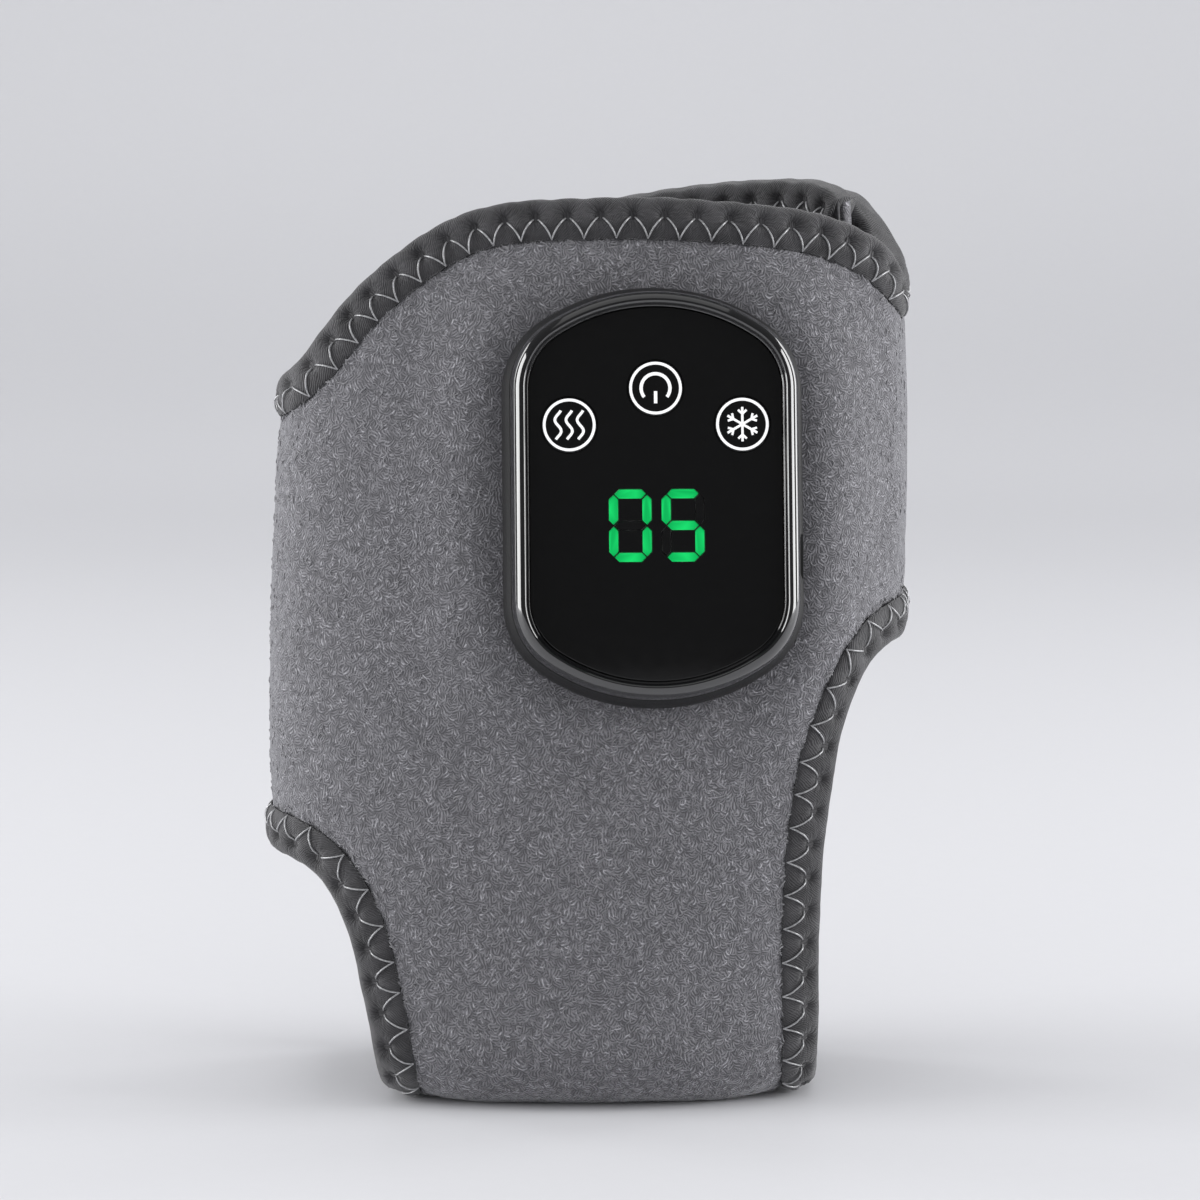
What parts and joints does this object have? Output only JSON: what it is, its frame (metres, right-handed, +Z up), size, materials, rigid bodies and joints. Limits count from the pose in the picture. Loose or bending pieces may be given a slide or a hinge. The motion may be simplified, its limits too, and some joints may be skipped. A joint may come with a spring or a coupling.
{
  "type": "hot and cold therapy ankle wrap",
  "caption": "Padded ankle wrap with a strap under the sole, open heel and toes, a hook-and-loop flap, and a glossy controller with touch keys and a green number display.",
  "frame": {"origin": "middle of the flat patch on the underside of the sole strap", "axes": "+Z up the leg, -Y out of the front where the controller is, +X towards the toe opening"},
  "size_m": [0.1326, 0.0906, 0.1846],
  "materials": {
    "plush": "short loop pile",
    "lining": "smooth knit",
    "tape": "woven stretch tape",
    "hook": "moulded hooks",
    "film": "satin",
    "case_matt": "fine matt",
    "case_gloss": "polished",
    "lens": "polished",
    "lit": "lit from behind",
    "unlit": "polished",
    "white_plastic": "matt",
    "frame_plastic": "matt",
    "board": "solder mask",
    "chip": "matt",
    "steel": "plated",
    "pouch": "foil pouch",
    "plate": "bead blasted",
    "ceramic": "white ceramic",
    "foam": "closed-cell foam",
    "rubber": "matt",
    "lead": "insulated wire"
  },
  "bodies": {
    "wrap": {"wrap_shell": "plush", "wrap_lining": "lining", "heating_film": "film", "top_binding": "tape", "heel_binding": "tape", "toe_binding": "tape", "case_wall": "case_matt", "bezel": "case_gloss", "front_lens": "lens", "lens_gasket": "rubber", "lit_segments": "lit", "unlit_segments": "unlit", "display_block": "white_plastic", "circuit_board": "board", "control_chip": "chip", "tact_switches": "steel", "board_screws": "steel", "usb_socket": "steel", "battery": "pouch", "case_frame": "frame_plastic", "heat_spreader": "plate", "cooling_module": "ceramic", "insulation": "foam", "contact_plate": "plate", "skin_sensor": "chip", "clamp_ring": "frame_plastic", "case_screws": "steel", "heater_leads": "lead"},
    "closure_flap": {"flap_shell": "plush", "flap_lining": "lining", "flap_binding": "tape", "hook_tape": "hook"},
    "power_button": {"power_key": "lens"},
    "heat_button": {"heat_key": "lens"},
    "cold_button": {"cold_key": "lens"}
  },
  "joints": [
    {"name": "flap_opening", "type": "hinge", "parent": "wrap", "child": "closure_flap", "pos_m": [0.063, 0.0052, 0.128], "axis": [0, -0.0614, -0.9981], "range_deg": [0, 110]},
    {"name": "power_press", "type": "slide", "parent": "wrap", "child": "power_button", "axis": [-0.0582, 0.985, -0.1626], "range_m": [0, 0.0004], "stiffness_N_per_m": 1500},
    {"name": "heat_press", "type": "slide", "parent": "wrap", "child": "heat_button", "axis": [-0.0582, 0.985, -0.1626], "range_m": [0, 0.0004], "stiffness_N_per_m": 1500},
    {"name": "cold_press", "type": "slide", "parent": "wrap", "child": "cold_button", "axis": [-0.0582, 0.985, -0.1626], "range_m": [0, 0.0004], "stiffness_N_per_m": 1500}
  ]
}
